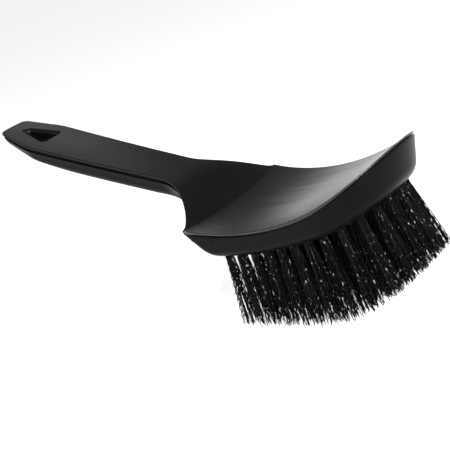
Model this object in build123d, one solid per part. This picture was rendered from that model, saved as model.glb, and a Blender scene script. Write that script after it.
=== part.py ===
from build123d import *
from math import cos, hypot, pi, radians, sin, sqrt, tan
import os

# Short-handled wheel brush, in millimetres.
# The brush stands on its bristle tips: Z = 0 is the plane they stand on, the handle points to -X,
# and the origin is the flat tip of the middle tuft of the fifth row.

# Handle and neck: the rounded top surface that runs from the handle's end down to the head.
HANDLE_END_X = -206.0
HANDLE_END_HALF_WIDTH = 10.6
HANDLE_WIDE_X = -181.0
HANDLE_WIDE_HALF_WIDTH = 16.9
HANDLE_CORNER_RADIUS = 4.5
HANDLE_SHOULDER_RADIUS = 28.0
NECK_X = -82.6
NECK_Z = 74.2
NECK_HALF_WIDTH = 14.0
HANDLE_SLOPE = 0.3
HANDLE_RISE = 0.00017
RAMP_STEEPNESS = 3.3e-4
CROWN_RADIUS = 200.0
FLARE_START_X = -88.5
FLARE_END_X = -55.6
FLARE_LEAD = 12.6
FLARE_BEND_X = -59.0
FLARE_BEND_Y = 28.8
FLARE_HALF_WIDTH = 42.2

# Head: a shallow scoop on top, a drafted skirt round it and an arched bristle face below.
HEAD_BACK_X = -56.8
HEAD_BACK_HALF_WIDTH = 43.4
HEAD_SIDE_HALF_WIDTH = 40.8
NOSE_START_X = 15.5
NOSE_X = 56.7
NOSE_POWER = 2.1
SCOOP_RADIUS = 142.0
SCOOP_LOW_X = -22.8
SCOOP_LOW_Z = 51.6
FACE_RADIUS = 200.0
FACE_LOW_X = -29.2
FACE_LOW_Z = 36.4
FACE_BACK_X = -46.5
BACK_BEND_RADIUS = 10.0
SKIRT_DRAFT = 0.2
SKIRT_LOW_Z = 28.0
SKIRT_HIGH_Z = 92.0
SKIRT_BOTTOM_RADIUS = 4.0

# The two mouldings: a top plate, and a body below it with a shadow groove between them.
PLATE = 2.2
JOINT_GAP = 0.05
BODY_INSET = 0.35
GROOVE_TOP = 1.0
GROOVE_HEIGHT = 1.6
GROOVE_DEPTH = 1.1
HULL_DRAFT_ANGLE = 13.0
HULL_TILT = 17.9
HULL_REACH_UP = 10.0
HULL_REACH_DOWN = 34.0
HULL_BEND_X = -64.0
HULL_BEND_HALF_WIDTH = 18.5
HULL_FOOT_X = -48.0
HULL_FOOT_HALF_WIDTH = 33.0
LIP_DEPTH = 5.0
LIP_INSET = 0.8
HULL_DEPTH = 13.6
HULL_END_DEPTH = 5.0
HULL_TAPER = 60.0
NECK_UNDER_X = -86.0
NECK_FOOT_X = -44.0
NECK_FOOT_Z = 37.6
WALL = 2.2
CAVITY_START_X = -170.0
CAVITY_END_X = -88.0
CAVITY_HALF_WIDTH = 10.5
RIBS = 3
RIB = 1.8

# Hanging hole: a rounded triangle whose point is toward the handle's end.
HOLE_POINT_X = -200.5
HOLE_BASE_X = -176.8
HOLE_BASE_HALF_WIDTH = 7.6
HOLE_CORNER_RADIUS = 2.0

# Bristles: folded tufts held in blind holes by flat wire anchors. The tips are trimmed flat from
# the back to TRIM_FLAT_X, and along an arc that rises toward the nose in front of it.
TRIM_FLAT_X = 12.0
TRIM_RADIUS = 80.0
ROWS = 10
ORIGIN_ROW = 4
ROW_PITCH = 9.6
ROW_PITCH_GROWTH = 0.2
TUFT_PITCH = 10.4
ROW_HALF_WIDTH = 36.8
ROW_BOW = 6.5
ROW_BOW_POWER = 3.0
NOSE_ROW_NARROWING = 0.35
LEAN_AT_ORIGIN = 6.5
LEAN_PER_MM = 0.145
SPLAY = 4.0
TUFT_HOLE_RADIUS = 2.4
TUFT_HOLE_DEPTH = 9.0
TUFT_ROOT_RADIUS = 2.35
TUFT_TIP_RADIUS = 4.1
ANCHOR_LENGTH = 4.7
ANCHOR_HEIGHT = 2.0
ANCHOR_THICKNESS = 0.45
ANCHOR_LIFT = 1.4

FAR = 130.0
PLATE_DROP = PLATE + JOINT_GAP


def scoop_height(x):
    """Height of the scoop's surface, a cylinder across the head."""
    return SCOOP_LOW_Z + SCOOP_RADIUS - sqrt(SCOOP_RADIUS**2 - (x - SCOOP_LOW_X) ** 2)


def ridge_height(x):
    """Height of the handle's and neck's centre line."""
    back = NECK_X - x
    if back > 0:
        return NECK_Z + HANDLE_SLOPE * back + HANDLE_RISE * back**2
    return NECK_Z + HANDLE_SLOPE * back + RAMP_STEEPNESS * back**3


def crown_drop(y):
    """How far the rounded top falls from the centre line to y."""
    return y * y / (2 * CROWN_RADIUS)


def hull_depth(x):
    """Depth of the handle's body below the top edge; it thins toward the end."""
    along = min((x - HANDLE_END_X) / HULL_TAPER, 1.0)
    return HULL_END_DEPTH + (HULL_DEPTH - HULL_END_DEPTH) * (1 - (1 - along) ** 2)


def side_half_width(x):
    """Half width of the head's straight sides."""
    along = (x - HEAD_BACK_X) / (NOSE_START_X - HEAD_BACK_X)
    return HEAD_SIDE_HALF_WIDTH + (HEAD_BACK_HALF_WIDTH - HEAD_SIDE_HALF_WIDTH) * (1 - along) ** 2


def rim_points(steps=14):
    """Points of one side of the rim, from the back corner to just before the nose."""
    sides = []
    for i in range(7):
        x = HEAD_BACK_X + (NOSE_START_X - HEAD_BACK_X) * i / 7
        sides.append((x, side_half_width(x)))
    nose = []
    for i in range(steps):
        turn = pi / 2 * i / steps
        x = NOSE_START_X + (NOSE_X - NOSE_START_X) * sin(turn) ** (2 / NOSE_POWER)
        nose.append((x, HEAD_SIDE_HALF_WIDTH * cos(turn) ** (2 / NOSE_POWER)))
    return sides + nose


def outward(points, i):
    """Unit normal of a rim side at point i, away from the head."""
    before = points[max(i - 1, 0)]
    after = points[i + 1] if i + 1 < len(points) else (NOSE_X, 0.0)
    run = after[0] - before[0]
    fall = after[1] - before[1]
    length = hypot(run, fall)
    return -fall / length, run / length


def rim_face(height, spread, back_x):
    """Head outline at a height; spread(x) is how far it stands outside the rim there."""
    side = rim_points()
    moved = []
    for i, (x, y) in enumerate(side):
        normal = outward(side, i)
        out = spread(x)
        moved.append((x + normal[0] * out, y + normal[1] * out))
    moved = [point for point in moved if point[0] > back_x + 0.5]
    nose = [(NOSE_X + spread(NOSE_X), 0.0)]
    loop = moved + nose + [(x, -y) for x, y in reversed(moved)]
    rim = Spline(*[(x, y, height) for x, y in loop])
    left = (back_x, moved[0][1], height)
    right = (back_x, -moved[0][1], height)
    back = Polyline(rim @ 1, right, left, rim @ 0)
    return make_face(Wire([*rim.edges(), *back.edges()]))


def head_prism(inset=0.0):
    """Upright column with the head's outline."""
    face = rim_face(0, lambda x: -inset, HEAD_BACK_X - 1.0 + inset)
    return extrude(face, amount=FAR, dir=(0, 0, 1))


def below_scoop(drop=0.0):
    """Everything under the scoop's surface, lowered by drop."""
    centre = SCOOP_LOW_Z + SCOOP_RADIUS - drop
    block = Pos(0, 0, 60) * Box(140, 120, 120)
    scoop = Pos(SCOOP_LOW_X, 0, centre) * Rot(90, 0, 0) * Cylinder(SCOOP_RADIUS, 140)
    return block - scoop


def handle_outline(inset, bend, foot):
    """Plan of the handle, widening by a curve from its neck to a foot inside the head."""
    end = (HANDLE_END_X + inset, HANDLE_END_HALF_WIDTH - inset)
    wide = (HANDLE_WIDE_X, HANDLE_WIDE_HALF_WIDTH - inset)
    slope = (NECK_HALF_WIDTH - HANDLE_WIDE_HALF_WIDTH) / (NECK_X - HANDLE_WIDE_X)
    start_y = NECK_HALF_WIDTH + slope * (FLARE_START_X - NECK_X) - inset
    start = (FLARE_START_X, start_y)
    lead = (FLARE_START_X + FLARE_LEAD, start_y + FLARE_LEAD * slope)
    front = (NECK_FOOT_X, foot[1])
    side = [Line(end, wide), Line(wide, start), Bezier(start, lead, bend, foot), Line(foot, front)]
    other = [edge.mirror(Plane.XZ) for edge in side]
    ends = [Line((end[0], -end[1]), end), Line(front, (front[0], -front[1]))]
    face = make_face(Wire([*side, *other, *ends]))
    corners = [v for v in face.vertices() if abs(v.X - end[0]) < 0.01]
    face = fillet(corners, HANDLE_CORNER_RADIUS - inset)
    shoulders = [v for v in face.vertices() if abs(v.X - wide[0]) < 0.01]
    return fillet(shoulders, HANDLE_SHOULDER_RADIUS)


def neck_outline(inset=0.0):
    """Plan of the top plate's handle and its flare into the head."""
    bend = (FLARE_BEND_X + inset, FLARE_BEND_Y - inset)
    foot = (FLARE_END_X + inset, FLARE_HALF_WIDTH - inset)
    return handle_outline(inset, bend, foot)


def hull_outline():
    """Plan of the boat-shaped body, which flares less than the plate above it."""
    bend = (HULL_BEND_X, HULL_BEND_HALF_WIDTH)
    foot = (HULL_FOOT_X, HULL_FOOT_HALF_WIDTH)
    return handle_outline(BODY_INSET, bend, foot)


def neck_prism(inset=0.0):
    """Upright column with the plan of the handle and neck."""
    return extrude(neck_outline(inset), amount=FAR, dir=(0, 0, 1))


def below_neck(drop=0.0):
    """Everything under the rounded top of the handle and neck, lowered by drop."""
    rows = []
    for i in range(42):
        x = HANDLE_END_X - 8 + 4.1 * i
        rows.append([Vector(x, y, ridge_height(x) - crown_drop(y) - drop) for y in range(-50, 51, 10)])
    top = Face.make_surface_from_array_of_points(rows, tol=0.005)
    return extrude(top, amount=90, dir=(0, 0, -1))


def envelope(drop=0.0, inset=0.0):
    """The brush's top form: handle, neck and scooped head, with upright sides."""
    head = head_prism(inset) & below_scoop(drop)
    neck = neck_prism(inset) & below_neck(drop)
    return head + neck


def hang_hole():
    """Triangular column that pierces the handle near its end."""
    left = (HOLE_BASE_X, HOLE_BASE_HALF_WIDTH)
    right = (HOLE_BASE_X, -HOLE_BASE_HALF_WIDTH)
    face = make_face(Polyline((HOLE_POINT_X, 0), left, right, close=True))
    face = fillet(face.vertices(), HOLE_CORNER_RADIUS)
    return extrude(face, amount=FAR, dir=(0, 0, 1))


def groove():
    """Ring cut from the plate's lower edge and the body's top edge, to make the shadow line."""
    band = envelope(drop=GROOVE_TOP) - envelope(drop=GROOVE_TOP + GROOVE_HEIGHT)
    return band - envelope(inset=GROOVE_DEPTH)


def upper_shell():
    """Top plate of handle, neck and scoop."""
    plate = envelope() - envelope(drop=PLATE)
    return plate - hang_hole() - groove()


def on_face_arc(point):
    """Whether a point lies on the arched bristle face."""
    reach = hypot(point.X - FACE_LOW_X, point.Z - FACE_LOW_Z - FACE_RADIUS)
    return abs(reach - FACE_RADIUS) < 0.02


def side_slab(outline):
    """Solid right across the brush, from a closed side view drawn as (x, z)."""
    return extrude(Plane.XZ * outline, amount=70, both=True)


def head_side_view():
    """Side view of everything above the bristle face and in front of the head's back."""
    centre_z = FACE_LOW_Z + FACE_RADIUS
    back_z = centre_z - sqrt(FACE_RADIUS**2 - (FACE_BACK_X - FACE_LOW_X) ** 2)
    front_x = NOSE_X + 15
    front_z = centre_z - sqrt(FACE_RADIUS**2 - (front_x - FACE_LOW_X) ** 2)
    corner_z = scoop_height(HEAD_BACK_X)
    slope = (corner_z - back_z) / (HEAD_BACK_X - FACE_BACK_X)
    top_x = HEAD_BACK_X - 22
    top_z = corner_z + slope * (top_x - HEAD_BACK_X)
    arch = ThreePointArc((FACE_BACK_X, back_z), (FACE_LOW_X, FACE_LOW_Z), (front_x, front_z))
    rest = Polyline(arch @ 1, (front_x, 110), (top_x, 110), (top_x, top_z), arch @ 0)
    face = make_face([*arch.edges(), *rest.edges()])
    corner = [v for v in face.vertices() if abs(v.X - FACE_BACK_X) < 0.01]
    return fillet(corner, BACK_BEND_RADIUS)


def skirt(height):
    """Outline of the drafted skirt where its walls cross a height."""
    def spread(x):
        return SKIRT_DRAFT * (height - scoop_height(x)) - BODY_INSET
    return rim_face(height, spread, HEAD_BACK_X - 24)


def head_body():
    """Solid block under the scoop: drafted skirt, arched bristle face, sloping back."""
    block = loft([skirt(SKIRT_LOW_Z), skirt(SKIRT_HIGH_Z)], ruled=True)
    block = block & side_slab(head_side_view()) & below_scoop(PLATE_DROP)
    bottom = [e for e in block.edges() if on_face_arc(e @ 0.5) and on_face_arc(e @ 0.1)]
    return fillet(bottom, SKIRT_BOTTOM_RADIUS)


def belly_height(x, lift=0.0):
    """Height of the handle body's underside."""
    edge_drop = crown_drop(NECK_HALF_WIDTH)
    return ridge_height(x) - edge_drop - hull_depth(x) + lift


def above_belly(lift=0.0):
    """Everything above the handle's and neck's underside, and in front of the handle's end."""
    end_x = HANDLE_END_X + BODY_INSET
    span = NECK_UNDER_X - end_x
    points = [(end_x + span * i / 8, belly_height(end_x + span * i / 8, lift)) for i in range(9)]
    belly = Spline(*points)
    foot = (NECK_FOOT_X, NECK_FOOT_Z + lift)
    rest = Polyline(belly @ 1, foot, (NECK_FOOT_X, FAR), (end_x, FAR), belly @ 0)
    return side_slab(make_face([*belly.edges(), *rest.edges()]))


def hull():
    """Boat-shaped column under the handle, square to it and drafted inward below."""
    stretch = 1 / cos(radians(HULL_TILT))
    plan = scale(Pos(-NECK_X, 0, 0) * hull_outline(), by=(stretch, 1, 1))
    upper = extrude(plan, amount=HULL_REACH_UP, dir=(0, 0, 1))
    lower = extrude(plan, amount=HULL_REACH_DOWN, dir=(0, 0, -1), taper=HULL_DRAFT_ANGLE)
    return Pos(NECK_X, 0, NECK_Z) * Rot(0, HULL_TILT, 0) * (upper + lower)


def flare_lip():
    """Rim that follows the plate's outline a little below it."""
    return neck_prism(LIP_INSET) - below_neck(PLATE_DROP + LIP_DEPTH)


def neck_body():
    """Body under the handle and neck, up to the plate."""
    return (hull() + flare_lip()) & above_belly() & below_neck(PLATE_DROP)


def handle_cavity():
    """Hollow inside the handle, crossed by ribs and closed by the top plate."""
    length = CAVITY_END_X - CAVITY_START_X
    middle = (CAVITY_END_X + CAVITY_START_X) / 2
    void = Pos(middle, 0, FAR / 2) * Box(length, 2 * CAVITY_HALF_WIDTH, FAR)
    void = void & above_belly(lift=WALL)
    for i in range(RIBS):
        x = CAVITY_START_X + length * (i + 1) / (RIBS + 1)
        void = void - Pos(x, 0, FAR / 2) * Box(RIB, 2 * CAVITY_HALF_WIDTH, FAR)
    return void


def tuft_rows():
    """Tip positions of every tuft in plan, row by row, from the back row to the nose."""
    rows = []
    for i in range(ROWS):
        forward = i / (ROWS - 1)
        steps = i - ORIGIN_ROW
        middle_x = ROW_PITCH * steps + ROW_PITCH_GROWTH * max(steps, 0) ** 2
        half_width = ROW_HALF_WIDTH * (1 - NOSE_ROW_NARROWING * forward**6)
        odd = (steps + 1) % 2
        count = 2 * round((2 * half_width / TUFT_PITCH + 1 - odd) / 2) + odd
        row = []
        for j in range(count):
            across = 2 * j / (count - 1) - 1
            bow = ROW_BOW * forward**ROW_BOW_POWER * across**2
            row.append((middle_x - bow, half_width * across))
        rows.append(row)
    return rows


def trim_height(x):
    """Height of the trimmed bristle tips."""
    if x <= TRIM_FLAT_X:
        return 0.0
    return TRIM_RADIUS - sqrt(TRIM_RADIUS**2 - (x - TRIM_FLAT_X) ** 2)


def above_trim():
    """Everything above the trimmed bristle tips."""
    front_x = NOSE_X + 14
    middle_x = (TRIM_FLAT_X + front_x) / 2
    arc = ThreePointArc(
        (TRIM_FLAT_X, 0), (middle_x, trim_height(middle_x)), (front_x, trim_height(front_x)))
    back_x = HEAD_BACK_X - 10
    rest = Polyline(arc @ 1, (front_x, 90), (back_x, 90), (back_x, 0), arc @ 0)
    return side_slab(make_face([*arc.edges(), *rest.edges()]))


def tuft_frame(tip):
    """Plane at a tuft's hole mouth, its Z axis running up into the block, and the bare length."""
    x, y = tip
    lean = radians(LEAN_AT_ORIGIN + LEAN_PER_MM * x)
    splay = radians(SPLAY * y / ROW_HALF_WIDTH)
    up = Vector(-tan(lean), -tan(splay), 1).normalized()
    below = FACE_LOW_Z + FACE_RADIUS - trim_height(x)
    a = up.X**2 + up.Z**2
    b = 2 * ((x - FACE_LOW_X) * up.X - below * up.Z)
    c = (x - FACE_LOW_X) ** 2 + below**2 - FACE_RADIUS**2
    reach = (-b - sqrt(b * b - 4 * a * c)) / (2 * a)
    mouth = Vector(x, y, trim_height(x)) + up * reach
    return Plane(origin=mouth, x_dir=(0, 1, 0), z_dir=up), reach


def tuft_hole(tip):
    """Blind hole that a tuft is driven into."""
    frame, _ = tuft_frame(tip)
    return frame * Pos(0, 0, TUFT_HOLE_DEPTH / 2 - 1) * Cylinder(TUFT_HOLE_RADIUS, TUFT_HOLE_DEPTH + 2)


def anchor(tip):
    """Flat wire driven across the bottom of a tuft's hole, from wall to wall."""
    frame, _ = tuft_frame(tip)
    height = TUFT_HOLE_DEPTH - ANCHOR_LIFT - ANCHOR_HEIGHT / 2
    return frame * Pos(0, 0, height) * Box(ANCHOR_LENGTH, ANCHOR_THICKNESS, ANCHOR_HEIGHT)


def tuft(tip):
    """Bundle of filaments: straight in its hole under the anchor, spreading to its trimmed tip."""
    frame, reach = tuft_frame(tip)
    past = 5.0
    low = -reach - past
    low_radius = TUFT_TIP_RADIUS + (TUFT_TIP_RADIUS - TUFT_ROOT_RADIUS) / reach * past
    top = TUFT_HOLE_DEPTH - ANCHOR_LIFT - ANCHOR_HEIGHT - 0.1
    profile = Polyline(
        (0, low), (low_radius, low), (TUFT_ROOT_RADIUS, 0), (TUFT_ROOT_RADIUS, top), (0, top), close=True)
    bundle = revolve(Plane.XZ * make_face(profile), Axis.Z)
    return frame * bundle & above_trim()


def bristle_block(rows):
    """Head block with its tuft holes."""
    holes = [tuft_hole(tip).solid() for row in rows for tip in row]
    return head_body() - Compound(holes)


def lower_body(rows):
    """Handle body and bristle block in one moulding, with its groove and hanging hole."""
    handle = neck_body() - handle_cavity() - hang_hole()
    return handle + bristle_block(rows) - groove()


def write(solid, name):
    """Write one node."""
    export_step(Part(Compound(solid.solids()).wrapped), f"parts/{name}.step")


if __name__ == "__main__":
    os.makedirs("parts", exist_ok=True)
    rows = tuft_rows()
    write(upper_shell(), "upper_shell")
    write(lower_body(rows), "lower_body")
    for number, row in enumerate(rows, 1):
        write(Compound([tuft(tip).solid() for tip in row]), f"tuft_row_{number}")
        write(Compound([anchor(tip).solid() for tip in row]), f"anchor_row_{number}")
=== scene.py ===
import math

import bmesh
import bpy
import numpy as np
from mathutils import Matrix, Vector


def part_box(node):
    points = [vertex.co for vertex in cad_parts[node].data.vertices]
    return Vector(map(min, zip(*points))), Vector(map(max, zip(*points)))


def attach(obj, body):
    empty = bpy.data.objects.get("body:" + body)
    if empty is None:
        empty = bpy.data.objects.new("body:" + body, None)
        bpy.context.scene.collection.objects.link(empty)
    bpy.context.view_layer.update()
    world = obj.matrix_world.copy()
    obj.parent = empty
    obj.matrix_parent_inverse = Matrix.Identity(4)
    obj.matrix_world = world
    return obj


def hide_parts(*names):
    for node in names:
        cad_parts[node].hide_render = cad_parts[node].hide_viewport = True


# Wheel brush: a two-part plastic moulding and its crimped bristles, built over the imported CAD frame.
# Shapes are worked out in millimetres in the frame's axes and written to meshes in metres.

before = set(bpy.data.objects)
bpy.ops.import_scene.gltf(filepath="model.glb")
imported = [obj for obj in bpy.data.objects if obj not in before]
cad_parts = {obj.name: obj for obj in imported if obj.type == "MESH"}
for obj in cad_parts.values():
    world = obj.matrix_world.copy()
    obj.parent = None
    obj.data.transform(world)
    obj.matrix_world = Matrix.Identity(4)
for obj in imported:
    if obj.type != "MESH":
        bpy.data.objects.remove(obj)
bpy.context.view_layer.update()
rng = np.random.default_rng(7)
MM = 0.001

plate_low, plate_high = (np.array(corner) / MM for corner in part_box("upper_shell"))
END_X = plate_low[0]
NOSE_X = plate_high[0]
EAR_Y = plate_high[1]

# Handle and neck in plan, and the crowned top surface over them, which slopes up towards the handle's
# end and steepens ahead of NECK_X.
END_HALF = 10.6
WIDE_X, WIDE_HALF = -181.0, 16.9
CORNER_R, SHOULDER_R = 4.5, 28.0
NECK_X, NECK_Z, NECK_HALF = -82.6, 74.2, 14.0
SLOPE, RISE, RAMP = 0.30, 0.00017, 3.3e-4
CROWN_R = 200.0
FLARE_X, FLARE_LEAD = -88.5, 12.6
FLARE_BEND, FLARE_FOOT = (-59.0, 28.8), (-55.6, 42.2)
HULL_BEND, HULL_FOOT = (-64.0, 18.5), (-48.0, 33.0)
PLATE_FLARE_END, HULL_FLARE_END = 0.95, 0.94
# Where the centre line's knots sit level with the shoulder and the neck.
SHOULDER_AT, NECK_AT = -192, -84

# Head: scoop, bristle face and outline.
BACK_X, BACK_HALF = -56.8, 43.4
SIDE_HALF, NOSE_START, NOSE_POWER = 40.8, 15.5, 2.1
SCOOP_R, SCOOP_X, SCOOP_Z = 142.0, -22.8, 51.6
FACE_R, FACE_X, FACE_Z = 200.0, -29.2, 36.4
BLOCK_BACK_X, FACE_BACK_X = BACK_X + 0.1, -50.5
RIM_CORNER_R, FACE_CORNER_R = 2.0, 7.0
SKIRT_DRAFT, SKIRT_ROUND, BACK_ROUND = 0.2, 9.0, 6.5
# The rim's dent, where the flare ends, and the ear that stands out beyond it.
DENT, DENT_R = (BACK_X + 0.6, 41.2), 0.8
EAR_X, EAR_R, EAR_END_X, EAR_BAND = BACK_X + 0.75, 1.0, BACK_X + 3, 0.5

# Crease between neck and scoop: only the neck counts behind NECK_ONLY_X, only the scoop ahead of
# SCOOP_ONLY_X. NEAR is the reach of what happens only beside the crease or an ear, and the three
# pairs at the end are distances from the centre line over which something fades.
NECK_ONLY_X, CREASE_FROM_X, SCOOP_ONLY_X = -70.0, -62.0, -38.0
SCOOP_SPAN = (-75, 70)
CREASE_ROUND, CREASE_SHARE, NEAR = 0.5, 0.3, 6.0
CREASE_BEND, BOW_FADE, STEP_BAND = (18, 34), (24, 34), (33, 39)

# Plate, with a rim that is thinner than the rest, so that a groove shows between it and the body.
PLATE = 2.2
SEAT = PLATE + 0.05
RIM, RIM_ROUND, RIM_UNDER = 1.0, 0.5, 0.25
STEP_IN = 1.45
EAR_TIGHT = 0.9
TOP_RINGS, ROUND_RINGS, UNDER_RINGS, BOTTOM_RINGS = 34, 7, 4, 16

# Body: its rim, and the hull, which is its part under the handle.
BODY_IN, BODY_STEP = 0.35, 1.38
SEAT_EDGE = BODY_STEP + 0.1
BODY_ROUND = 0.3
GROOVE, GROOVE_END, GROOVE_HEAD, GROOVE_NOSE = 3.3, 0.9, 1.3, 0.4
HULL_DRAFT, HULL_FRONT = 0.23, -38.0
HULL_DEPTH, HULL_END_DEPTH, HULL_TAPER = 14.0, 5.6, 60.0
HULL_SUNK, HULL_BLEND = 1.2, 0.3
LIP_CORNER_R, HULL_CORNER_R = 2.6, 4.4
LIP_DEPTH, LIP_SHARE, WALL_SHARE = 4.0, 0.25, 0.4
LEAST_ROOM, LEAST_WALL, LEAST_TURN = 0.5, 0.2, 0.3
BELLY_ROUND, BELLY_SHARE, BELLY_REACH, BELLY_MOST = 5.5, 0.85, 1.25, 0.8
UNDER_X, UNDER_FADE, FOOT_X, FOOT_Z = -86.0, 12, -44.0, 37.6
UNDER_CLEAR, UNDER_ROUND = 0.9, 0.4
TURN_POINTS, FRONT_POINTS = 8, 16
BACK_POINTS, CORNER_POINTS = 24, 26

# Hanging hole: a rounded triangle pointing at the handle's end.
HOLE_POINT_X, HOLE_BASE_X, HOLE_HALF, HOLE_R = -199.5, -175.0, 7.6, 2.0
CUTTER_ABOVE, CUTTER_BELOW = 6, 30
BODY_HOLE_GROW = 0.4


def scoop_z(x):
    """Height of the head's hollow top."""
    return SCOOP_Z + SCOOP_R - np.sqrt(SCOOP_R**2 - (x - SCOOP_X) ** 2)


def face_z(x):
    """Height of the face that the bristles stand in."""
    return FACE_Z + FACE_R - np.sqrt(FACE_R**2 - (x - FACE_X) ** 2)


def ridge_z(x):
    """Height of handle and neck along the centre line."""
    back = NECK_X - x
    return NECK_Z + SLOPE * back + np.where(back > 0, RISE * back**2, RAMP * back**3)


def neck_z(x, y):
    """Height of the crowned top of handle and neck."""
    return ridge_z(x) - y * y / (2 * CROWN_R)


def smooth_step(low, high, value):
    t = np.clip((value - low) / (high - low), 0, 1)
    return t * t * (3 - 2 * t)


def soft_max(a, b, width):
    return (a + b + np.sqrt((a - b) ** 2 + width**2)) / 2


def top_z(x, y, ahead):
    """Height of the top plate, where neck and scoop meet in a slightly rounded crease.

    ahead is -1 behind the crease's row of points, 1 ahead of it and 0 on it. Close to the rim it
    decides between neck and scoop, so that the flare ends in a small step there.
    """
    neck = neck_z(x, y)
    scoop = scoop_z(np.clip(x, *SCOOP_SPAN))
    rounded = soft_max(neck, scoop, CREASE_ROUND)
    both = np.where(x < NECK_ONLY_X, neck, np.where(x > SCOOP_ONLY_X, scoop, rounded))
    between = neck * (1 - CREASE_SHARE) + scoop * CREASE_SHARE
    chosen = np.where(ahead < 0, neck, np.where(ahead > 0, scoop, between))
    chosen = np.where(x < NECK_ONLY_X, neck, chosen)
    edge = smooth_step(*STEP_BAND, np.abs(y))
    return both * (1 - edge) + chosen * edge


def crease_x(y):
    """Where the neck's surface meets the scoop's, found by halving, and led to the rim's dents."""
    low, high = np.full_like(y, CREASE_FROM_X), np.full_like(y, SCOOP_ONLY_X)
    for _ in range(40):
        middle = (low + high) / 2
        above = neck_z(middle, y) > scoop_z(middle)
        low, high = np.where(above, middle, low), np.where(above, high, middle)
    straight = low[0] + (DENT[0] - low[0]) * np.abs(y) / DENT[1]
    edge = smooth_step(*CREASE_BEND, np.abs(y))
    return low * (1 - edge) + straight * edge


def hull_top_z(x, y):
    """Top of the handle's body: under the neck's plate, then just inside the bristle block."""
    neck = neck_z(x, y)
    inside = scoop_z(np.clip(x, *SCOOP_SPAN)) - HULL_SUNK
    return np.where(x < NECK_ONLY_X, neck, soft_max(neck, inside, HULL_BLEND)) - SEAT


def groove_floor(x):
    """How far below the top surface the body's rim stands: most along the handle, least at the nose."""
    end = GROOVE_END * (1 - smooth_step(END_X, -188, x))
    head = GROOVE_HEAD * smooth_step(-75, -50, x)
    return GROOVE - end - head - GROOVE_NOSE * smooth_step(10, 55, x)


def body_in(x):
    """How far the body stands in from the plate's edge; nothing at the nose."""
    return BODY_IN * (1 - smooth_step(15, 50, x))


def belly_z(x):
    """Height of the handle's underside, and of the straight neck below that runs into the head."""
    along = np.clip((x - END_X) / HULL_TAPER, 0, 1)
    depth = HULL_END_DEPTH + (HULL_DEPTH - HULL_END_DEPTH) * (1 - (1 - along) ** 2)
    handle = ridge_z(x) - NECK_HALF**2 / (2 * CROWN_R) - depth
    under_z = ridge_z(UNDER_X) - NECK_HALF**2 / (2 * CROWN_R) - HULL_DEPTH
    straight = under_z + (FOOT_Z - under_z) * (x - UNDER_X) / (FOOT_X - UNDER_X)
    straight = soft_max(straight, face_z(x) + UNDER_CLEAR, UNDER_ROUND)
    blend = smooth_step(UNDER_X - UNDER_FADE, UNDER_X + UNDER_FADE, x)
    return handle * (1 - blend) + straight * blend


# ---- outlines in plan, each half running from the handle's end or head's back to the front ----


def line(a, b, count):
    """Points from a towards b, without b."""
    t = np.arange(count)[:, None] / count
    return np.array(a) * (1 - t) + np.array(b) * t


def arc(before, corner, after, radius, count):
    """Points round a corner of the path before-corner-after, without the last one."""
    corner = np.array(corner, float)
    u = np.array(before) - corner
    v = np.array(after) - corner
    u, v = u / np.linalg.norm(u), v / np.linalg.norm(v)
    half = math.acos(np.clip(u @ v, -1, 1)) / 2
    middle = (u + v) / np.linalg.norm(u + v)
    centre = corner + middle * radius / math.sin(half)
    first = corner + u * radius / math.tan(half) - centre
    last = corner + v * radius / math.tan(half) - centre
    swing = math.acos(np.clip(first @ last / radius**2, -1, 1))
    t = np.arange(count)[:, None] / count
    return centre + (np.sin((1 - t) * swing) * first + np.sin(t * swing) * last) / math.sin(swing)


def arc_ends(before, corner, after, radius):
    """Where arc() leaves and rejoins the path."""
    corner = np.array(corner, float)
    u = np.array(before) - corner
    v = np.array(after) - corner
    u, v = u / np.linalg.norm(u), v / np.linalg.norm(v)
    half = math.acos(np.clip(u @ v, -1, 1)) / 2
    reach = radius / math.tan(half)
    return corner + u * reach, corner + v * reach


def bezier(a, b, c, d, ts):
    """Points of a cubic curve at the shares ts."""
    t = np.array(ts)[:, None]
    a, b, c, d = (np.array(p) for p in (a, b, c, d))
    return (1 - t) ** 3 * a + 3 * (1 - t) ** 2 * t * b + 3 * (1 - t) * t * t * c + t**3 * d


def handle_side(bend, foot, last_t):
    """Handle's end, corner, shoulder and flare; last_t is the share of the flare that is kept."""
    end, wide = (END_X, END_HALF), (WIDE_X, WIDE_HALF)
    slope = (NECK_HALF - WIDE_HALF) / (NECK_X - WIDE_X)
    start = (FLARE_X, NECK_HALF + slope * (FLARE_X - NECK_X))
    lead = (FLARE_X + FLARE_LEAD, start[1] + FLARE_LEAD * slope)
    a0, a1 = arc_ends((END_X, 0), end, wide, CORNER_R)
    b0, b1 = arc_ends(end, wide, start, SHOULDER_R)
    ts = last_t * np.linspace(0, 1, 91)[:-1] ** 0.9
    return np.concatenate([
        line((END_X, 0), a0, 12),
        arc((END_X, 0), end, wide, CORNER_R, 14),
        line(a1, b0, 14),
        arc(end, wide, start, SHOULDER_R, 14),
        line(b1, start, 60),
        bezier(start, lead, bend, foot, ts),
    ])


def side_half(x):
    """Half width of the head along its side."""
    along = (x - BACK_X) / (NOSE_START - BACK_X)
    return SIDE_HALF + (BACK_HALF - SIDE_HALF) * (1 - along) ** 2


def nose_curve(count):
    """Half of the nose, from the head's side to its tip."""
    turn = np.linspace(0, math.pi / 2, count)
    power = 2 / NOSE_POWER
    x = NOSE_START + (NOSE_X - NOSE_START) * np.sin(turn) ** power
    y = SIDE_HALF * np.maximum(np.cos(turn), 0) ** power
    return np.stack([x, y], 1)


def nose_side(start_x):
    """Side of the head from start_x to the nose tip, with closer points beside the crease."""
    near = np.linspace(start_x, SCOOP_ONLY_X, 50)[:-1]
    far = np.linspace(SCOOP_ONLY_X, NOSE_START, 36)[:-1]
    xs = np.concatenate([near, far])
    return np.concatenate([np.stack([xs, side_half(xs)], 1), nose_curve(90)])


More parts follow.
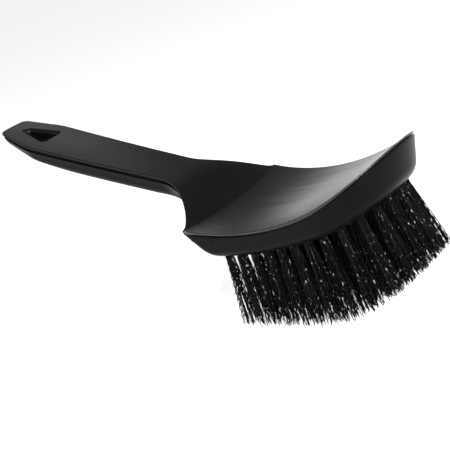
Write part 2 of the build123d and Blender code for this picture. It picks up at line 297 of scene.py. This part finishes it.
def plate_side():
    """Half outline of the whole top plate, and the index of the dent where flare and ear meet."""
    dent_points = 6
    neck = handle_side(FLARE_BEND, FLARE_FOOT, PLATE_FLARE_END)
    leave = neck[-1] + (neck[-1] - neck[-2])
    ear, side = (EAR_X, EAR_Y), (EAR_END_X, side_half(EAR_END_X))
    d0, d1 = arc_ends(leave, DENT, ear, DENT_R)
    e0, e1 = arc_ends(DENT, ear, side, EAR_R)
    before = np.concatenate([neck, line(leave, d0, 3)])
    after = [
        arc(leave, DENT, ear, DENT_R, dent_points),
        line(d1, e0, 4),
        arc(DENT, ear, side, EAR_R, 12),
        line(e1, side, 6),
        nose_side(EAR_END_X),
    ]
    return np.concatenate([before, *after]), len(before) + dent_points // 2


def close(half):
    """Whole loop from a half outline whose first and last points lie on the centre line."""
    mirrored = half[1:-1][::-1] * (1, -1)
    return np.concatenate([half, mirrored])


def normals(loop):
    """Outward normals of a closed loop that starts at the back and runs along +Y first."""
    run = np.roll(loop, -1, 0) - np.roll(loop, 1, 0)
    out = np.stack([-run[:, 1], run[:, 0]], 1)
    return out / np.linalg.norm(out, axis=1)[:, None]


def spine(loop, knots):
    """Centre-line points for a loop; knots pair an index of its half with an x, evenly run between."""
    half = loop[: len(loop) // 2 + 1]
    steps = np.linalg.norm(np.diff(half, axis=0), axis=1)
    travel = np.concatenate([[0], np.cumsum(steps)])
    indices = [i for i, _ in knots]
    x = np.interp(travel, travel[indices], [x for _, x in knots])
    x = np.concatenate([x, x[1:-1][::-1]])
    return np.stack([x, np.zeros_like(x)], 1)


def first_past(loop, x):
    """Index of the first point of a loop's first half that is ahead of x."""
    return int(np.argmax(loop[: len(loop) // 2 + 1, 0] > x))


# ---- meshes ----


def add_object(name, mesh):
    piece = bpy.data.objects.new(name, mesh)
    bpy.context.scene.collection.objects.link(piece)
    return piece


def skin(name, rings):
    """Closed mesh through loops of equal length; the first and last collapse on the centre line."""
    rings = np.array(rings)
    rows, count = rings.shape[:2]
    faces = []
    for r in range(rows - 1):
        for i in range(count):
            j = (i + 1) % count
            faces.append((r * count + i, r * count + j, (r + 1) * count + j, (r + 1) * count + i))
    mesh = bpy.data.meshes.new(name)
    mesh.from_pydata((rings.reshape(-1, 3) * MM).tolist(), [], faces)
    work = bmesh.new()
    work.from_mesh(mesh)
    bmesh.ops.remove_doubles(work, verts=work.verts, dist=2e-6)
    bmesh.ops.dissolve_degenerate(work, dist=1e-7, edges=work.edges)
    bmesh.ops.recalc_face_normals(work, faces=work.faces)
    work.to_mesh(mesh)
    work.free()
    return add_object(name, mesh)


def lift(points, z):
    """Points in plan, given their heights."""
    return np.concatenate([points, np.reshape(z, (-1, 1))], 1)


def boolean(piece, tool, operation):
    """Cut or join piece with tool, and keep only the result."""
    modifier = piece.modifiers.new("cut", "BOOLEAN")
    modifier.operation = operation
    modifier.solver = "EXACT"
    modifier.object = tool
    evaluated = piece.evaluated_get(bpy.context.evaluated_depsgraph_get())
    mesh = bpy.data.meshes.new_from_object(evaluated)
    piece.modifiers.clear()
    piece.data = mesh
    bpy.data.objects.remove(tool)
    return piece


def smooth(piece, angle):
    """Smooth shading, except across edges sharper than angle in degrees."""
    for polygon in piece.data.polygons:
        polygon.use_smooth = True
    piece.data.set_sharp_from_angle(angle=math.radians(angle))


def make_plate():
    """Top plate in rings from the centre line out, round the rim and back in along the underside."""
    side, dent = plate_side()
    loop = close(side)
    out = normals(loop)
    count = len(loop)
    shoulder, neck = first_past(loop, SHOULDER_AT), first_past(loop, NECK_AT)
    middle = crease_x(np.zeros(1))[0]
    axis = spine(loop, [
        (0, END_X + 6),
        (shoulder, loop[shoulder, 0] + 1),
        (neck, NECK_AT),
        (dent, middle),
        (first_past(loop, NOSE_START), NOSE_START),
        (count // 2, 42),
    ])
    index = np.minimum(np.arange(count), count - np.arange(count))
    ahead = np.sign(index - dent)
    near_crease = np.exp(-(((axis[:, 0] - middle) / NEAR) ** 2))
    apart = np.hypot(loop[:, 0] - BACK_X, np.abs(loop[:, 1]) - EAR_Y)
    tight = 1 - EAR_TIGHT * np.exp(-((apart / NEAR) ** 2))

    def bow(y):
        """How far the crease lies from a straight line between centre and dent."""
        return crease_x(np.abs(y)) - middle - (DENT[0] - middle) * np.abs(y) / DENT[1]

    def place(s, inset):
        """Plan of a ring a share s of the way out to the rim, drawn in by inset, less at the ears."""
        rim = loop - out * (inset * tight)[:, None]
        plan = axis + (rim - axis) * s
        inner = 1 - smooth_step(*BOW_FADE, np.abs(plan[:, 1]))
        plan[:, 0] += bow(plan[:, 1]) * inner * near_crease
        return plan

    def ring(s, inset, drop):
        """A ring at its height, drop below the top surface."""
        plan = place(s, inset)
        return lift(plan, top_z(plan[:, 0], plan[:, 1], ahead) - drop)

    rings = [ring(s, RIM_ROUND, 0) for s in np.linspace(0, 1, TOP_RINGS)[:-1]]
    for turn in np.linspace(0, math.pi / 2, ROUND_RINGS):
        rings.append(ring(1, RIM_ROUND * (1 - math.sin(turn)), RIM_ROUND * (1 - math.cos(turn))))
    for turn in np.linspace(0, math.pi / 2, UNDER_RINGS):
        rings.append(ring(1, RIM_UNDER * (1 - math.cos(turn)), RIM - RIM_UNDER * (1 - math.sin(turn))))
    rings.append(ring(1, STEP_IN, RIM))
    rings += [ring(s, STEP_IN, PLATE) for s in np.linspace(1, 0, BOTTOM_RINGS)]
    return skin("top_plate", rings)


def rim_rings(loop, out, top):
    """Body's upper edge: the plate's seat, the step outside it and a small rounding.

    top(plan) is the height of the seat.
    """
    seat = loop - out * SEAT_EDGE
    rings = [lift(seat, top(seat))]
    stand = body_in(loop[:, 0])[:, None]
    for inset in (BODY_STEP, stand + BODY_ROUND):
        plan = loop - out * inset
        rings.append(lift(plan, top(plan) + SEAT - groove_floor(plan[:, 0])))
    for turn in np.linspace(0, math.pi / 2, UNDER_RINGS)[1:]:
        plan = loop - out * (stand + BODY_ROUND * (1 - math.sin(turn)))
        fall = groove_floor(plan[:, 0]) + BODY_ROUND * (1 - math.cos(turn))
        rings.append(lift(plan, top(plan) + SEAT - fall))
    return rings


def hull_side(bend, foot, radius):
    """Half outline of the handle's body to its front end in the head, and the index past its foot."""
    flare = handle_side(bend, foot, HULL_FLARE_END)
    leave = flare[-1] + (flare[-1] - flare[-2])
    corner, front = (HULL_FRONT, foot[1]), (HULL_FRONT, 0)
    _, a1 = arc_ends(leave, foot, corner, radius)
    b0, b1 = arc_ends(foot, corner, front, radius)
    outline = np.concatenate([
        flare,
        arc(leave, foot, corner, radius, TURN_POINTS),
        line(a1, b0, 6),
        arc(foot, corner, front, radius, TURN_POINTS),
        line(b1, front, FRONT_POINTS),
        [front],
    ])
    return outline, len(flare) + TURN_POINTS


def turned(before, corner, after, t):
    """Ring at share t of a rounded turn past corner."""
    return (1 - t) ** 2 * before + 2 * (1 - t) * t * corner + t * t * after


def make_hull():
    """Handle body: lip under the plate's flare, drafted wall, rounded edge and belly."""
    lip_half, foot = hull_side(FLARE_BEND, FLARE_FOOT, LIP_CORNER_R)
    hull_half, _ = hull_side(HULL_BEND, HULL_FOOT, HULL_CORNER_R)
    lip, hull = close(lip_half), close(hull_half)
    lip_out, hull_out = normals(lip), normals(hull)
    flare = smooth_step(0.0, 2.0, np.linalg.norm(lip - hull, axis=1))
    half = len(lip) // 2
    axis = spine(lip, [
        (0, END_X + 7),
        (first_past(lip, SHOULDER_AT), SHOULDER_AT + 3),
        (first_past(lip, NECK_AT), NECK_AT + 1),
        (foot, -56),
        (half - FRONT_POINTS, -50),
        (half, -44),
    ])
    top = hull_top_z(lip[:, 0], lip[:, 1])
    bottom = belly_z(hull[:, 0])
    groove = groove_floor(lip[:, 0]) - SEAT + BODY_ROUND
    room = np.maximum(top - groove - bottom, LEAST_ROOM)
    rings = []
    inner = lip - lip_out * SEAT_EDGE
    for s in np.linspace(0, 1, 7)[:-1]:
        plan = axis + (inner - axis) * s
        rings.append(lift(plan, hull_top_z(plan[:, 0], plan[:, 1])))
    rings += rim_rings(lip, lip_out, lambda plan: hull_top_z(plan[:, 0], plan[:, 1]))
    lip_drop = groove + np.minimum(LIP_DEPTH, LIP_SHARE * room)
    wall = lip - lip_out * (BODY_IN + HULL_DRAFT * lip_drop)[:, None]
    rings.append(lift(wall, top - lip_drop))
    hull_drop = np.maximum(lip_drop + LEAST_WALL, groove + WALL_SHARE * room)
    inset = BODY_IN + HULL_DRAFT * hull_drop
    under = lip * (1 - flare)[:, None] + hull * flare[:, None]
    under_out = lip_out * (1 - flare)[:, None] + hull_out * flare[:, None]
    rings.append(lift(under - under_out * inset[:, None], top - hull_drop))
    depth = np.maximum(top - bottom, hull_drop + LEAST_TURN)
    radius = np.minimum(BELLY_ROUND, BELLY_SHARE * (depth - hull_drop))
    corner_plan = hull - hull_out * (BODY_IN + HULL_DRAFT * depth)[:, None]
    corner = lift(corner_plan, top - depth)
    start = corner + lift(hull_out * HULL_DRAFT, np.ones(len(hull))) * radius[:, None]
    towards = axis - corner_plan
    reach = np.maximum(np.linalg.norm(towards, axis=1), 1e-6)
    past = corner_plan + towards * np.minimum(radius * BELLY_REACH / reach, BELLY_MOST)[:, None]
    past = lift(past, belly_z(past[:, 0]))
    for t in np.linspace(0, 1, 9):
        rings.append(turned(start, corner, past, t))
    for s in np.linspace(1, 0, 8)[1:]:
        plan = axis + (past[:, :2] - axis) * s
        rings.append(lift(plan, belly_z(plan[:, 0])))
    return skin("handle_body", rings)


def block_side(back_x, radius, inset):
    """Half outline of the bristle block, drawn in by inset(x): back, rounded corner, side and nose."""
    turn_x = back_x + radius * 1.3
    sides = np.linspace(turn_x, NOSE_START, 60)[:-1]
    half = side_half(np.maximum(sides, BACK_X)) - inset(sides)
    nose = nose_curve(80)
    out = normals(close(np.concatenate([[(BACK_X, 0)], nose])))[1 : len(nose) + 1]
    out[0], out[-1] = (0, 1), (1, 0)
    nose = nose - out * inset(nose[:, 0])[:, None]
    nose[-1, 1] = 0
    ahead = (sides[0], half[0])
    corner = (back_x, half[0] + 0.001)
    c0, c1 = arc_ends((back_x, 0), corner, ahead, radius)
    return np.concatenate([
        line((back_x, 0), c0, BACK_POINTS),
        arc((back_x, 0), corner, ahead, radius, CORNER_POINTS),
        line(c1, ahead, 3),
        np.stack([sides, half], 1),
        nose,
    ])


def make_block():
    """Bristle block: rim under the scoop, drafted skirt, rounded lower edge and arched face."""

    def drafted(x):
        return body_in(x) + SKIRT_DRAFT * (scoop_z(x) - face_z(x))

    loop = close(block_side(BLOCK_BACK_X, RIM_CORNER_R, np.zeros_like))
    low = close(block_side(FACE_BACK_X, FACE_CORNER_R, drafted))
    out = normals(loop)
    half = len(loop) // 2
    axis = spine(loop, [
        (0, -27),
        (BACK_POINTS + CORNER_POINTS, -21),
        (first_past(loop, NOSE_START), NOSE_START),
        (half, 41),
    ])
    rings = []
    inner = loop - out * SEAT_EDGE
    for s in np.linspace(0, 1, 9)[:-1]:
        plan = axis + (inner - axis) * s
        rings.append(lift(plan, scoop_z(plan[:, 0]) - SEAT))
    rings += rim_rings(loop, out, lambda plan: scoop_z(plan[:, 0]) - SEAT)
    start = rings[-1]
    corner = lift(low, face_z(low[:, 0]))
    backward = smooth_step(-1.0, 0.2, out[:, 0])
    radius = SKIRT_ROUND * (1 - backward) + BACK_ROUND * backward
    wall = start - corner
    above = corner + wall / np.linalg.norm(wall, axis=1)[:, None] * radius[:, None]
    for s in np.linspace(0, 1, 8)[1:-1]:
        rings.append(start + (above - start) * s)
    towards = axis - low
    towards = towards / np.linalg.norm(towards, axis=1)[:, None]
    past = low + towards * radius[:, None]
    past = lift(past, face_z(past[:, 0]))
    for t in np.linspace(0, 1, 10):
        rings.append(turned(above, corner, past, t))
    for s in np.linspace(1, 0, 12)[1:]:
        plan = axis + (past[:, :2] - axis) * s
        rings.append(lift(plan, face_z(plan[:, 0])))
    return skin("bristle_block", rings)


def make_hole_cutter(name, flare):
    """Triangular column through the handle; flare pairs how far it widens with how far down."""
    corners = [(HOLE_POINT_X, 0), (HOLE_BASE_X, -HOLE_HALF), (HOLE_BASE_X, HOLE_HALF)]
    loop = []
    for i, corner in enumerate(corners):
        before, after = corners[i - 1], corners[(i + 1) % 3]
        before_end = arc_ends(corners[i - 2], before, corner, HOLE_R)[1]
        here = arc_ends(before, corner, after, HOLE_R)[0]
        loop.append(line(before_end, here, 10))
        loop.append(arc(before, corner, after, HOLE_R, 10))
    loop = np.concatenate(loop)
    out = normals(loop)
    out = out * np.sign((out * (loop - loop.mean(0))).sum())
    surface = neck_z(loop[:, 0], loop[:, 1])
    centre = np.tile(loop.mean(0), (len(loop), 1))
    level = np.full(len(loop), surface.mean())
    rings = [lift(centre, level + CUTTER_ABOVE)]
    for grow, drop in flare:
        rings.append(lift(loop + out * grow, surface - drop))
    rings.append(lift(centre, level - CUTTER_BELOW))
    return skin(name, rings)


# The plate's hole has a rounded funnel for a mouth; the body's is straight.
plate = make_plate()
mouth = [(1.9, -3), (1.8, 0.0), (1.5, 0.25), (0.9, 0.5), (0.3, 0.8), (0.0, 1.4), (0.0, 25)]
boolean(plate, make_hole_cutter("plate_hole", mouth), "DIFFERENCE")
body = boolean(make_hull(), make_block(), "UNION")
through = [(BODY_HOLE_GROW, -3), (BODY_HOLE_GROW, 25)]
boolean(body, make_hole_cutter("body_hole", through), "DIFFERENCE")
body.name = "body_moulding"
SHARP_FROM = 32
smooth(plate, SHARP_FROM)
smooth(body, SHARP_FROM)

# ---- bristles ----

# Counts for each tuft and filament, then sizes. A tip is cut short of the trim by a random length
# that averages about SCATTER and is MOST_SHORT at most, less PAST_TRIM, so that some reach past it.
FILAMENTS, STATIONS, SIDES = 34, 42, 4
FILAMENT_R, FILAMENT_R_VARIES, END_SHARE = 0.28, 0.02, 0.7
ROOT_DEPTH, ROOT_REACH, TIP_REACH = 2.5, 2.0, 4.3
STRAYS, STRAY_REACH = 3, (4.6, 6.2)
BACK_PULL, BACK_PULL_FADE = 3.0, (-15, -45)
TRIM_X, TRIM_R, TRIM_END = 12.0, 80.0, 60
SCATTER, MOST_SHORT, PAST_TRIM = 1.3, 9, 0.4
CRIMP_PERIOD, CRIMP_SIZE = 4.3, 0.26
LOWEST_Z = -0.2


def islands(node):
    """Centres of the separate solids in a CAD node, from -Y to +Y."""
    work = bmesh.new()
    work.from_mesh(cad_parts[node].data)
    bmesh.ops.remove_doubles(work, verts=work.verts, dist=1e-6)
    left = set(work.verts)
    centres = []
    while left:
        stack = [left.pop()]
        group = []
        while stack:
            vert = stack.pop()
            group.append(vert.co)
            for edge in vert.link_edges:
                other = edge.other_vert(vert)
                if other in left:
                    left.remove(other)
                    stack.append(other)
        centres.append((np.min(group, axis=0) + np.max(group, axis=0)) / 2 / MM)
    work.free()
    return sorted(centres, key=lambda centre: centre[1])


def trim_z(x):
    """Height at which the bristles are trimmed: level, then rising towards the nose."""
    ahead = np.clip(x - TRIM_X, 0, TRIM_END)
    return TRIM_R - np.sqrt(TRIM_R**2 - ahead**2)


def around(angle, side, fore):
    """Unit vectors at the given angles from side towards fore."""
    return np.cos(angle)[:, None] * side + np.sin(angle)[:, None] * fore


def filaments(anchor, tuft):
    """Centre lines of one tuft's filaments, from inside its hole to the trimmed tips.

    anchor and tuft are the centres of the tuft's steel anchor and of its CAD solid.
    """
    up = (anchor - tuft) / np.linalg.norm(anchor - tuft)
    side = np.cross(up, (1, 0, 0))
    side = side / np.linalg.norm(side)
    fore = np.cross(side, up)
    count = FILAMENTS
    spread = np.sqrt(rng.random(count))
    angle = rng.random(count) * 2 * math.pi
    root = ROOT_REACH * spread[:, None] * around(angle, side, fore)
    angle = angle + rng.normal(0, 0.35, count)
    reach = TIP_REACH * np.clip(spread + rng.normal(0, 0.2, count), 0, 1.25)
    reach[:STRAYS] = rng.uniform(*STRAY_REACH, STRAYS)
    tip = reach[:, None] * around(angle, side, fore)
    start = anchor - up * ROOT_DEPTH + root
    middle = tuft - up * tuft[2] / up[2]
    for _ in range(4):
        middle = middle + up * (trim_z(middle[0]) - middle[2]) / up[2]
    foot = middle + tip + np.array((BACK_PULL * smooth_step(*BACK_PULL_FADE, anchor[0]), 0, 0))
    run = foot - start
    scale = np.ones(count)
    for _ in range(4):
        end = start + run * scale[:, None]
        scale = scale * (trim_z(end[:, 0]) - start[:, 2]) / (end[:, 2] - start[:, 2])
    length = np.linalg.norm(run, axis=1) * scale
    shorter = np.minimum(rng.gamma(1.0, SCATTER, count), MOST_SHORT) - PAST_TRIM
    end = start + run * ((length - shorter) / np.linalg.norm(run, axis=1))[:, None]
    s = np.linspace(0, 1, STATIONS)
    ease = s**1.25
    splay = tip - root
    straight = start[:, None] + (end - start - splay)[:, None] * s[:, None]
    paths = straight + splay[:, None] * ease[:, None]
    turn = rng.random(count) * 2 * math.pi
    wave = around(turn, side, fore)
    cross = -np.sin(turn)[:, None] * side + np.cos(turn)[:, None] * fore
    phase = rng.random(count) * 2 * math.pi
    period = rng.normal(CRIMP_PERIOD, 0.4, count)
    size = rng.normal(CRIMP_SIZE, 0.05, count)[:, None] * (0.6 + 0.4 * s)
    crimp = np.sin(2 * math.pi * length[:, None] * s / period[:, None] + phase[:, None]) * size
    bow = rng.normal(0, 0.8, count)[:, None] * np.sin(math.pi * s)
    bow = bow + rng.normal(0, 1.0, count)[:, None] * s**3
    paths = paths + crimp[..., None] * wave[:, None] + bow[..., None] * cross[:, None]
    paths[..., 2] = np.maximum(paths[..., 2], LOWEST_Z)
    return paths, side, fore


def tubes(name, batches):
    """One mesh of closed tubes along many centre lines."""
    points = []
    corner = np.arange(SIDES) * 2 * math.pi / SIDES
    share = np.ones(STATIONS)
    share[-1] = END_SHARE
    for paths, side, fore in batches:
        radius = rng.normal(FILAMENT_R, FILAMENT_R_VARIES, len(paths))[:, None] * share
        ring = around(corner, side, fore)
        points.append((paths[:, :, None] + radius[:, :, None, None] * ring).reshape(-1, 3))
    points = np.concatenate(points) * MM
    total = len(points) // (STATIONS * SIDES)
    base = (np.arange(total) * STATIONS * SIDES)[:, None, None]
    row = (np.arange(STATIONS - 1) * SIDES)[None, :, None]
    j = np.arange(SIDES)[None, None]
    k = (j + 1) % SIDES
    near, far = base + row, base + row + SIDES
    quads = np.stack([near + j, near + k, far + k, far + j], -1).reshape(-1)
    first = (base[:, 0] + np.arange(SIDES)[::-1][None]).reshape(-1)
    last = (base[:, 0] + (STATIONS - 1) * SIDES + np.arange(SIDES)[None]).reshape(-1)
    loops = np.concatenate([quads, first, last])
    sizes = np.concatenate([np.full(len(quads) // 4, 4), np.full(2 * total, SIDES)])
    starts = np.concatenate([[0], np.cumsum(sizes)[:-1]])
    mesh = bpy.data.meshes.new(name)
    mesh.vertices.add(len(points))
    mesh.vertices.foreach_set("co", points.astype(np.float32).ravel())
    mesh.loops.add(len(loops))
    mesh.loops.foreach_set("vertex_index", loops.astype(np.int32))
    mesh.polygons.add(len(sizes))
    mesh.polygons.foreach_set("loop_start", starts.astype(np.int32))
    mesh.update(calc_edges=True)
    mesh.validate()
    mesh.polygons.foreach_set("use_smooth", np.ones(len(mesh.polygons), bool))
    mesh.update()
    return add_object(name, mesh)


def row_number(name):
    """Number at the end of a CAD row's name."""
    return int(name.split("_")[-1])


rows = sorted((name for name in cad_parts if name.startswith("tuft_row_")), key=row_number)
bristles = []
for row in rows:
    number = row_number(row)
    pairs = zip(islands(f"anchor_row_{number}"), islands(row))
    batches = [filaments(anchor, tuft) for anchor, tuft in pairs]
    bristles.append((row, tubes(f"bristles_{number}", batches)))


# ---- materials ----


def new_material(name):
    material = bpy.data.materials.new(name)
    material.use_nodes = True
    tree = material.node_tree
    shader = tree.nodes["Principled BSDF"]
    return material, tree, shader


def node(tree, kind, **inputs):
    """New shader node with its inputs set by name, an underscore standing for a space."""
    made = tree.nodes.new(kind)
    for key, value in inputs.items():
        made.inputs[key.replace("_", " ")].default_value = value
    return made


def ramp(tree, source, stops):
    """Colour that follows source through stops, each a position and a colour."""
    made = tree.nodes.new("ShaderNodeValToRGB")
    elements = made.color_ramp.elements
    elements[0].position, elements[0].color = stops[0][0], (*stops[0][1], 1)
    elements[1].position, elements[1].color = stops[-1][0], (*stops[-1][1], 1)
    for position, colour in stops[1:-1]:
        elements.new(position).color = (*colour, 1)
    tree.links.new(source, made.inputs["Fac"])
    return made.outputs["Color"]


def grey(value):
    return (value, value, value)


def speckle(tree, source, stops, target):
    """Feed target with a colour that follows a noise node through stops."""
    tree.links.new(ramp(tree, source.outputs["Fac"], stops), target)


def plastic(name, dark, light, rough, grain, strength, shine, wave=0.0):
    """Moulded black polypropylene: faint flow mottling, fine spark texture, varied gloss.

    wave adds the shallow waviness of a moulded wall that has sunk a little.
    """
    material, tree, shader = new_material(name)
    place = tree.nodes.new("ShaderNodeTexCoord").outputs["Object"]
    flow = node(tree, "ShaderNodeTexNoise", Scale=28.0, Detail=3.0, Roughness=0.55)
    stretch = tree.nodes.new("ShaderNodeMapping")
    stretch.inputs["Scale"].default_value = (0.25, 1.0, 1.0)
    tree.links.new(place, stretch.inputs["Vector"])
    tree.links.new(stretch.outputs["Vector"], flow.inputs["Vector"])
    speckle(tree, flow, [(0.3, dark), (0.7, light)], shader.inputs["Base Color"])
    speckle(tree, flow, [(0.3, grey(rough[0])), (0.7, grey(rough[1]))], shader.inputs["Roughness"])
    fine = node(tree, "ShaderNodeTexNoise", Scale=grain, Detail=2.0, Roughness=0.6)
    tree.links.new(place, fine.inputs["Vector"])
    bump = node(tree, "ShaderNodeBump", Strength=strength, Distance=0.0001)
    tree.links.new(fine.outputs["Fac"], bump.inputs["Height"])
    if wave:
        sink = node(tree, "ShaderNodeBump", Strength=wave, Distance=0.002)
        tree.links.new(flow.outputs["Fac"], sink.inputs["Height"])
        tree.links.new(sink.outputs["Normal"], bump.inputs["Normal"])
    tree.links.new(bump.outputs["Normal"], shader.inputs["Normal"])
    shader.inputs["IOR"].default_value = 1.5
    shader.inputs["Specular IOR Level"].default_value = shine
    return material


def bristle_material():
    """Glossy black filaments, each a slightly different tone, with painted glints: pale spots in the base
    colour where crests would catch light.
    """
    material, tree, shader = new_material("filament")
    place = tree.nodes.new("ShaderNodeTexCoord").outputs["Object"]
    shade = tree.nodes.new("ShaderNodeNewGeometry").outputs["Random Per Island"]
    colour = ramp(tree, shade, [(0.0, grey(0.0005)), (0.8, grey(0.0015)), (1.0, grey(0.005))])
    # Painted glints: sparse noise spots turn the base colour pale grey, standing in for highlights on the
    # crimp crests.
    painted_glints = node(tree, "ShaderNodeTexNoise", Scale=1100.0, Detail=1.0)
    drawn_out = tree.nodes.new("ShaderNodeMapping")
    drawn_out.inputs["Scale"].default_value = (1.0, 1.0, 0.3)
    tree.links.new(place, drawn_out.inputs["Vector"])
    tree.links.new(drawn_out.outputs["Vector"], painted_glints.inputs["Vector"])
    mix = tree.nodes.new("ShaderNodeMix")
    mix.data_type = "RGBA"
    speckle(tree, painted_glints, [(0.7, grey(0.0)), (0.78, grey(1.0))], mix.inputs["Factor"])
    tree.links.new(colour, mix.inputs[6])
    mix.inputs[7].default_value = (0.5, 0.5, 0.5, 1)
    tree.links.new(mix.outputs[2], shader.inputs["Base Color"])
    spots = node(tree, "ShaderNodeTexNoise", Scale=420.0, Detail=1.0)
    tree.links.new(place, spots.inputs["Vector"])
    speckle(tree, spots, [(0.35, grey(0.06)), (0.65, grey(0.13))], shader.inputs["Roughness"])
    shader.inputs["IOR"].default_value = 1.5
    shader.inputs["Specular IOR Level"].default_value = 0.07
    return material


def steel_material():
    """Drawn steel wire."""
    material, tree, shader = new_material("anchor_steel")
    place = tree.nodes.new("ShaderNodeTexCoord").outputs["Object"]
    drawn = node(tree, "ShaderNodeTexNoise", Scale=900.0, Detail=2.0)
    tree.links.new(place, drawn.inputs["Vector"])
    dark, light = (0.42, 0.42, 0.43), (0.58, 0.57, 0.55)
    speckle(tree, drawn, [(0.3, dark), (0.7, light)], shader.inputs["Base Color"])
    speckle(tree, drawn, [(0.3, grey(0.25)), (0.7, grey(0.4))], shader.inputs["Roughness"])
    shader.inputs["Metallic"].default_value = 1.0
    return material


satin = plastic(
    "satin_plastic",
    dark=grey(0.004), light=grey(0.006), rough=(0.36, 0.42),
    grain=1500.0, strength=0.25, shine=0.2,
)
gloss = plastic(
    "gloss_plastic",
    dark=grey(0.005), light=grey(0.008), rough=(0.2, 0.26),
    grain=900.0, strength=0.08, shine=0.5, wave=0.35,
)
body_plastic = plastic(
    "body_plastic",
    dark=grey(0.002), light=grey(0.004), rough=(0.28, 0.36),
    grain=1300.0, strength=0.18, shine=0.04,
)


def is_gloss(x, y):
    """Whether a place on the plate belongs to the glossy scoop, ears included, not the satin handle."""
    return x > NECK_ONLY_X and (scoop_z(x) > neck_z(x, y) or abs(y) > FLARE_FOOT[1] - EAR_BAND)


plate.data.materials.append(satin)
plate.data.materials.append(gloss)
for polygon in plate.data.polygons:
    polygon.material_index = int(is_gloss(polygon.center.x / MM, polygon.center.y / MM))
body.data.materials.append(body_plastic)
hair = bristle_material()
steel = steel_material()

mouldings = [(plate, "upper_shell", "top_moulding"), (body, "lower_body", "body_moulding")]
for piece, node_name, slot in mouldings:
    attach(piece, "root")
    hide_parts(node_name)
for row, piece in bristles:
    piece.data.materials.append(hair)
    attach(piece, "root")
    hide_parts(row)
for name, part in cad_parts.items():
    if name.startswith("anchor_row_"):
        part.data.materials.clear()
        part.data.materials.append(steel)

# ---- floor, light and camera ----


def make_floor():
    """White round floor just below the bristle tips, wide enough to pass for a backdrop."""
    count, floor_z = 64, -0.0006
    work = bmesh.new()
    centre = work.verts.new((0, 0, floor_z))
    turns = [2 * math.pi * i / count for i in range(count)]
    loops = [
        [work.verts.new((radius * math.cos(turn), radius * math.sin(turn), floor_z)) for turn in turns]
        for radius in (0.6, 60.0)
    ]
    for i in range(count):
        j = (i + 1) % count
        work.faces.new((centre, loops[0][i], loops[0][j]))
        work.faces.new((loops[0][i], loops[1][i], loops[1][j], loops[0][j]))
    mesh = bpy.data.meshes.new("floor")
    work.to_mesh(mesh)
    work.free()
    floor = add_object("floor", mesh)
    material, tree, shader = new_material("floor_paint")
    place = tree.nodes.new("ShaderNodeTexCoord").outputs["Object"]
    cloud = node(tree, "ShaderNodeTexNoise", Scale=2.0, Detail=2.0)
    tree.links.new(place, cloud.inputs["Vector"])
    speckle(tree, cloud, [(0.3, grey(0.93)), (0.7, grey(0.95))], shader.inputs["Base Color"])
    shader.inputs["Roughness"].default_value = 0.9
    shader.inputs["Specular IOR Level"].default_value = 0.1
    shader.inputs["Emission Color"].default_value = (1, 1, 1, 1)
    shader.inputs["Emission Strength"].default_value = 0.75
    mesh.materials.append(material)


def softbox(name, location, target, size, power):
    """Square light of the given side, aimed at target."""
    light = bpy.data.lights.new(name, "AREA")
    light.shape = "SQUARE"
    light.size = size
    light.energy = power
    lamp = bpy.data.objects.new(name, light)
    bpy.context.scene.collection.objects.link(lamp)
    lamp.location = location
    lamp.rotation_euler = (Vector(target) - Vector(location)).to_track_quat("-Z", "Y").to_euler()


make_floor()
middle = (-0.04, 0, 0.05)
softbox("handle_box", (-0.50, 0.36, 0.48), (-0.18, 0, 0.1), 0.22, 0.22)
softbox("overhead", (0.1, -0.1, 1.3), middle, 0.7, 2.0)
softbox("glint_left", (-0.35, -0.75, 0.22), middle, 0.04, 2.0)
softbox("glint_right", (0.75, -0.35, 0.25), middle, 0.04, 8.0)
softbox("glint_high", (0.35, -0.55, 0.75), middle, 0.04, 5.0)

# Sky, bright near the horizon and dark overhead, as the photo's studio shows in the plastic.
world = bpy.data.worlds.new("studio")
world.use_nodes = True
bpy.context.scene.world = world
tree = world.node_tree
direction = tree.nodes.new("ShaderNodeTexCoord").outputs["Generated"]
split = tree.nodes.new("ShaderNodeSeparateXYZ")
tree.links.new(direction, split.inputs["Vector"])
sky = ramp(tree, split.outputs["Z"], [
    (0.0, grey(1.1)),
    (0.12, grey(1.1)),
    (0.22, grey(0.6)),
    (0.34, grey(0.16)),
    (0.62, grey(0.08)),
    (0.75, grey(0.04)),
])
tree.links.new(sky, tree.nodes["Background"].inputs["Color"])
tree.nodes["Background"].inputs["Strength"].default_value = 1.0

CAMERA_AT, CAMERA_TURN = (0.3292, -0.42367, 0.21879), (71.785, 18.573, 37.071)
camera_data = bpy.data.cameras.new("camera")
camera_data.lens = 89.0
camera_data.sensor_width = 36.0
camera_data.clip_start = 0.02
camera = bpy.data.objects.new("camera", camera_data)
camera.location = CAMERA_AT
camera.rotation_euler = [math.radians(angle) for angle in CAMERA_TURN]
bpy.context.scene.collection.objects.link(camera)
bpy.context.scene.camera = camera
bpy.context.scene.view_settings.view_transform = "Standard"
